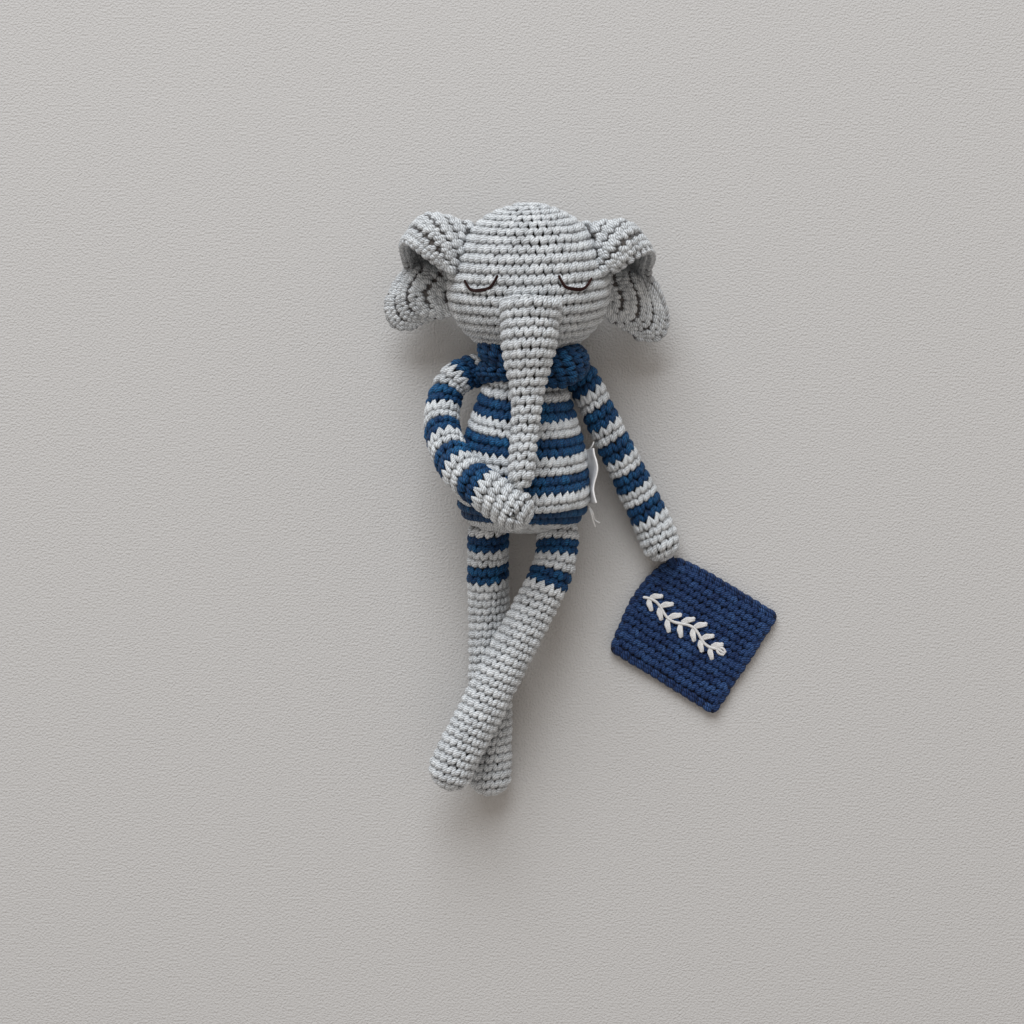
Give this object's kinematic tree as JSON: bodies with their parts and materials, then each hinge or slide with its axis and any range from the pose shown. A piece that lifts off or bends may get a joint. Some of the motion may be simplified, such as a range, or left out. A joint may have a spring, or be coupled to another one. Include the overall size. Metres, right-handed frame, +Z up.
{
  "type": "stuffed elephant",
  "caption": "Crocheted stuffed elephant doll in a striped jumper, lying on its back with crossed legs, closed stitched eyes and a small square tag held in one hand.",
  "frame": {"origin": "on the resting surface under the middle of the back", "axes": "+Z up out of the chest, +Y from the feet to the head, +X to the doll's own left"},
  "size_m": [0.1595, 0.2386, 0.0687],
  "materials": {
    "grey_yarn": "crocheted mercerised cotton yarn, light grey, soft sheen",
    "blue_yarn": "crocheted mercerised cotton yarn, denim blue",
    "navy_yarn": "crocheted mercerised cotton yarn, navy with a violet cast",
    "filling": "loose polyester fibre filling",
    "eye_thread": "dark brown embroidery thread",
    "white_thread": "white embroidery and sewing thread",
    "label_ribbon": "plain white satin care ribbon"
  },
  "bodies": {
    "torso": {"torso_blue_rounds": "blue_yarn", "torso_grey_rounds": "grey_yarn", "torso_filling": "filling", "collar_band": "blue_yarn", "collar_lapel_left": "blue_yarn", "collar_lapel_right": "blue_yarn", "label_thread": "white_thread"},
    "head": {"head_cover": "grey_yarn", "head_filling": "filling", "eye_stitching_left": "eye_thread", "eye_stitching_right": "eye_thread"},
    "trunk": {"trunk_cover": "grey_yarn", "trunk_filling": "filling"},
    "ear_left": {"ear_left": "grey_yarn"},
    "ear_right": {"ear_right": "grey_yarn"},
    "arm_left": {"arm_left_blue_rounds": "blue_yarn", "arm_left_grey_rounds": "grey_yarn", "arm_left_filling": "filling"},
    "arm_right": {"arm_right_blue_rounds": "blue_yarn", "arm_right_grey_rounds": "grey_yarn", "arm_right_filling": "filling"},
    "leg_left": {"leg_left_blue_rounds": "blue_yarn", "leg_left_grey_rounds": "grey_yarn", "leg_left_filling": "filling"},
    "leg_right": {"leg_right_blue_rounds": "blue_yarn", "leg_right_grey_rounds": "grey_yarn", "leg_right_filling": "filling"},
    "label": {"label_ribbon": "label_ribbon"},
    "tag": {"tag_panel": "navy_yarn", "tag_edging": "navy_yarn", "tag_sprig": "white_thread", "tag_tie": "navy_yarn"}
  },
  "joints": [
    {"name": "neck_turn", "type": "hinge", "parent": "torso", "child": "head", "pos_m": [0.0005, 0.037, 0.0315], "axis": [0, 1, 0], "range_deg": [0, 12]},
    {"name": "trunk_lift", "type": "hinge", "parent": "head", "child": "trunk", "pos_m": [0.0008, 0.0475, 0.057], "axis": [-1, 0, 0], "range_deg": [0, 72]},
    {"name": "ear_left_flap", "type": "hinge", "parent": "head", "child": "ear_left", "pos_m": [0.0335, 0.072, 0.033], "axis": [0, -1, 0], "range_deg": [0, 30]},
    {"name": "ear_right_flap", "type": "hinge", "parent": "head", "child": "ear_right", "pos_m": [-0.033, 0.074, 0.033], "axis": [0, 1, 0], "range_deg": [0, 30]},
    {"name": "shoulder_left", "type": "hinge", "parent": "torso", "child": "arm_left", "pos_m": [0.0223, 0.0292, 0.0225], "axis": [0, 0, 1], "range_deg": [0, 70]},
    {"name": "shoulder_right", "type": "hinge", "parent": "torso", "child": "arm_right", "pos_m": [-0.021, 0.0325, 0.0225], "axis": [0, 0, -1], "range_deg": [0, 50]},
    {"name": "hip_left", "type": "hinge", "parent": "torso", "child": "leg_left", "pos_m": [0.0125, -0.0336, 0.022], "axis": [0, 0, 1], "range_deg": [0, 36]},
    {"name": "hip_right", "type": "hinge", "parent": "torso", "child": "leg_right", "pos_m": [-0.0155, -0.0335, 0.018], "axis": [0, 0, -1], "range_deg": [0, 25]},
    {"name": "tag_swing", "type": "hinge", "parent": "arm_left", "child": "tag", "pos_m": [0.0615, -0.0468, 0.005], "axis": [0, 0, 1], "range_deg": [-30, 30]},
    {"name": "label_flap", "type": "hinge", "parent": "torso", "child": "label", "pos_m": [0.0268, -0.01, 0.0235], "axis": [0, 1, 0], "range_deg": [0, 60]}
  ]
}
